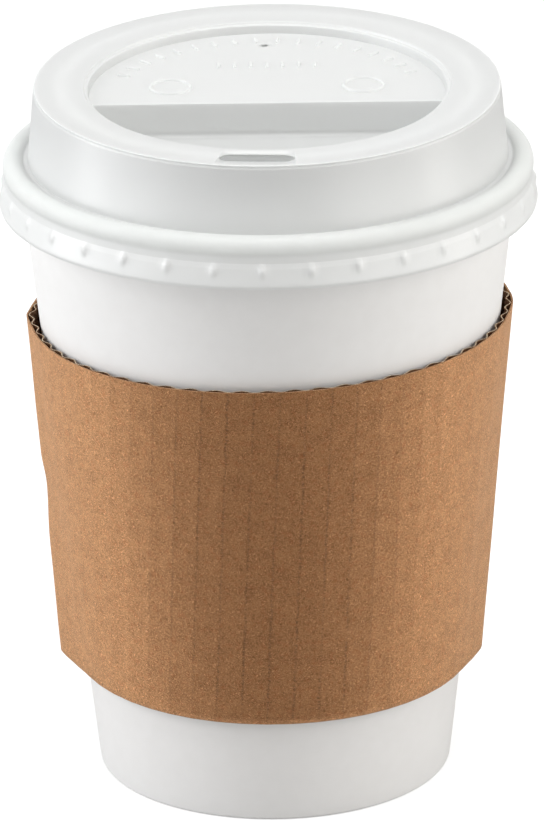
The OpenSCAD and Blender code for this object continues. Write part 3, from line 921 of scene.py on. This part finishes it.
def lid_marks(material):
    """Plain raised marks on the platform: an arc of ticks, two rings and a row of bars."""
    marks = []
    for side in (-1, 1):
        for i in range(TICK_COUNT):
            angle = side * (i + 0.5) * TICK_STEP
            r = recess_r - TICK_INSET - MARK_L / 2
            marks.append(bar_mark([r * sin(radians(angle)), r * cos(radians(angle))], -angle))
        marks.append(ring_mark([side * RING_MARK_X, RING_MARK_BACK - STEP_Y]))
    for i in range(BAR_COUNT):
        marks.append(bar_mark([(i - (BAR_COUNT - 1) / 2) * BAR_STEP, BAR_BACK - STEP_Y], 0))
    points, faces = [], []
    for mark_points, mark_faces in marks:
        start = sum(len(p) for p in points)
        points.append(mark_points)
        faces += [[start + n for n in face] for face in mark_faces]
    points = np.vstack(points)
    points[:, 2] += drum_h - PLATFORM_DEPTH
    return make_piece("lid_marks", tilted(points), faces, [material], sharp=50)


def apply_modifier(obj, kind, **settings):
    """Gives an object the mesh that a modifier makes of it."""
    modifier = obj.modifiers.new(kind.lower(), kind)
    for key, value in settings.items():
        setattr(modifier, key, value)
    graph = bpy.context.evaluated_depsgraph_get()
    mesh = bpy.data.meshes.new_from_object(obj.evaluated_get(graph), depsgraph=graph)
    obj.modifiers.clear()
    old, obj.data = obj.data, mesh
    bpy.data.meshes.remove(old)


def cut_through(obj, outline, depth):
    """Cuts a hole with an upright outline, drawn on the tilted drum, through the lid's top."""
    n = len(outline)
    low = np.column_stack([outline, np.full(n, drum_h - depth)])
    high = np.column_stack([outline, np.full(n, drum_h + CUTTER_TOP)])
    faces = [list(range(n))[::-1], list(range(n, 2 * n))]
    faces += [[i, (i + 1) % n, n + (i + 1) % n, n + i] for i in range(n)]
    cutter = make_piece("cutter", tilted(np.vstack([low, high])), faces, [])
    apply_modifier(obj, "BOOLEAN", operation="DIFFERENCE", object=cutter, solver="EXACT")
    bpy.data.objects.remove(cutter)


def slot_outline():
    """The sip slot near the ring's front edge, a few degrees to the left."""
    span = (SLOT_L - SLOT_W) / 2
    right = arc([span, 0], SLOT_W / 2, -90, 90, SLOT_END_STEPS)
    left = arc([-span, 0], SLOT_W / 2, 90, 270, SLOT_END_STEPS)
    return rotated(np.vstack([right, left]) + [0, SLOT_INSET - drum_top_r], -radians(SLOT_TURN))


def join(obj, other):
    """Adds another object's mesh to an object."""
    both = bmesh.new()
    both.from_mesh(obj.data)
    both.from_mesh(other.data)
    both.to_mesh(obj.data)
    both.free()
    bpy.data.objects.remove(other)


def lid_shell(material):
    """The lid: its outer face made into a sheet, with slot, vent and marks."""
    points, faces = lid_surface()
    obj = make_piece("lid_shell", points, faces, [material], sharp=55)
    apply_modifier(obj, "SOLIDIFY", thickness=LID_T * MM, offset=-1, use_even_offset=False)
    cut_through(obj, slot_outline(), SLOT_CUT)
    last = 360 - 360 / VENT_SIDES
    vent = arc([VENT_X, recess_r - VENT_INSET], VENT_D / 2, 0, last, VENT_SIDES - 1)
    cut_through(obj, vent, VENT_CUT)
    join(obj, lid_marks(material))
    dress(obj, "lid", "lid")


# Stage, lamps and camera, in metres

FLOOR_R, FLOOR_SIDES = 0.5, 96
# Camera: place, angles in radians, lens and sensor in millimetres
CAM_AT = (0.0, -1.287, 0.56163)
CAM_PITCH, CAM_ROLL, CAM_YAW = 0.3684, -0.0128, 0.0001
CAM_LENS, SENSOR = 343.3, 36.0
COOL, WARM, WARMER = (0.985, 0.99, 1.0), (1.0, 0.98, 0.95), (1.0, 0.96, 0.9)
# Softboxes: name, azimuth from the front to the right in degrees, distance, lowest and highest edge, width
# in degrees as the cup sees it, radiance, colour
LAMPS = (
    ("left_near", -67, 1.2, -0.25, 1.1, 34, 1.7, COOL),
    ("left_far", -91, 1.2, -0.25, 1.1, 20, 5.2, COOL),
    ("right_near", 50, 1.2, -0.25, 1.1, 42, 1.4, WARM),
    ("right_far", 86, 1.2, -0.25, 1.1, 22, 3.5, WARM),
    ("front_high", 0, 1.1, 0.95, 1.65, 72, 0.42, WARMER),
)
TOP_SIZE, TOP_AT, TOP_RADIANCE = 1.4, (0, -0.01, 1.5), 3.0
AIM = Vector((0, 0, 0.07))
# Brightness of the world: as a light, and as the camera and reflections see it
WORLD_LIGHT, WORLD_SEEN = 0.12, 1.0


def add_lamp(name, place, width, tall, radiance, colour):
    """A rectangular lamp that faces the cup and shows the same brightness at any size."""
    lamp = bpy.data.lights.new(name, "AREA")
    lamp.shape, lamp.size, lamp.size_y = "RECTANGLE", width, tall
    lamp.energy = radiance * pi * width * tall
    lamp.color = colour
    obj = bpy.data.objects.new(name, lamp)
    obj.location = place
    obj.rotation_mode = "QUATERNION"
    obj.rotation_quaternion = (AIM - obj.location).to_track_quat("-Z", "Y")
    bpy.context.scene.collection.objects.link(obj)


def add_lamps():
    """The softboxes round the cup and the one overhead."""
    for name, azimuth, distance, low, high, wide, radiance, colour in LAMPS:
        a = radians(azimuth)
        place = (distance * sin(a), -distance * cos(a), (low + high) / 2)
        add_lamp(name, place, 2 * distance * tan(radians(wide / 2)), high - low, radiance, colour)
    add_lamp("overhead", TOP_AT, TOP_SIZE, TOP_SIZE, TOP_RADIANCE, WHITE[:3])


def floor():
    """A round white table."""
    points = turn(FLOOR_R, np.linspace(0, 2 * pi, FLOOR_SIDES, endpoint=False), 0.0)
    mesh = bpy.data.meshes.new("floor")
    mesh.from_pydata(points.tolist(), [], [tuple(range(FLOOR_SIDES))])
    mesh.materials.append(floor_material())
    obj = bpy.data.objects.new("floor", mesh)
    bpy.context.scene.collection.objects.link(obj)


def world():
    """Even light all round, which the camera sees as white."""
    made = bpy.data.worlds.new("studio")
    made.use_nodes = True
    tree = made.node_tree
    path = add_node(tree, "LightPath", {})
    seen = calc(tree, "MAXIMUM", path.outputs["Is Camera Ray"], path.outputs["Is Glossy Ray"])
    strength = calc(tree, "ADD", times(tree, seen, WORLD_SEEN - WORLD_LIGHT), WORLD_LIGHT)
    background = tree.nodes["Background"]
    background.inputs["Color"].default_value = WHITE
    connect(tree, strength, background.inputs["Strength"])
    bpy.context.scene.world = made


def camera():
    """The photograph's camera, fitted to the circles of the lid, the rim and the foot."""
    ahead = Vector((sin(CAM_YAW) * cos(CAM_PITCH), cos(CAM_YAW) * cos(CAM_PITCH), -sin(CAM_PITCH)))
    level = Vector((cos(CAM_YAW), -sin(CAM_YAW), 0))
    up = level.cross(ahead)
    side = level * cos(CAM_ROLL) + up * sin(CAM_ROLL)
    top = up * cos(CAM_ROLL) - level * sin(CAM_ROLL)
    data = bpy.data.cameras.new("photo_camera")
    data.lens, data.sensor_width = CAM_LENS, SENSOR
    data.clip_start, data.clip_end = 0.1, 20
    obj = bpy.data.objects.new("photo_camera", data)
    axes = Matrix((side, top, -ahead)).transposed().to_4x4()
    obj.matrix_world = Matrix.Translation(CAM_AT) @ axes
    bpy.context.scene.collection.objects.link(obj)
    bpy.context.scene.camera = obj


def main():
    """Dresses the frame's bodies and sets the stage."""
    paper = white_paper()
    cup_shell(paper)
    base = frame["nodes"]["cup_base"]
    base.data.materials.clear()
    base.data.materials.append(paper)
    sleeve_liner()
    sleeve_fluting()
    lid_shell(lid_plastic())
    floor()
    add_lamps()
    world()
    camera()
    bpy.context.scene.view_settings.view_transform = "Standard"


main()
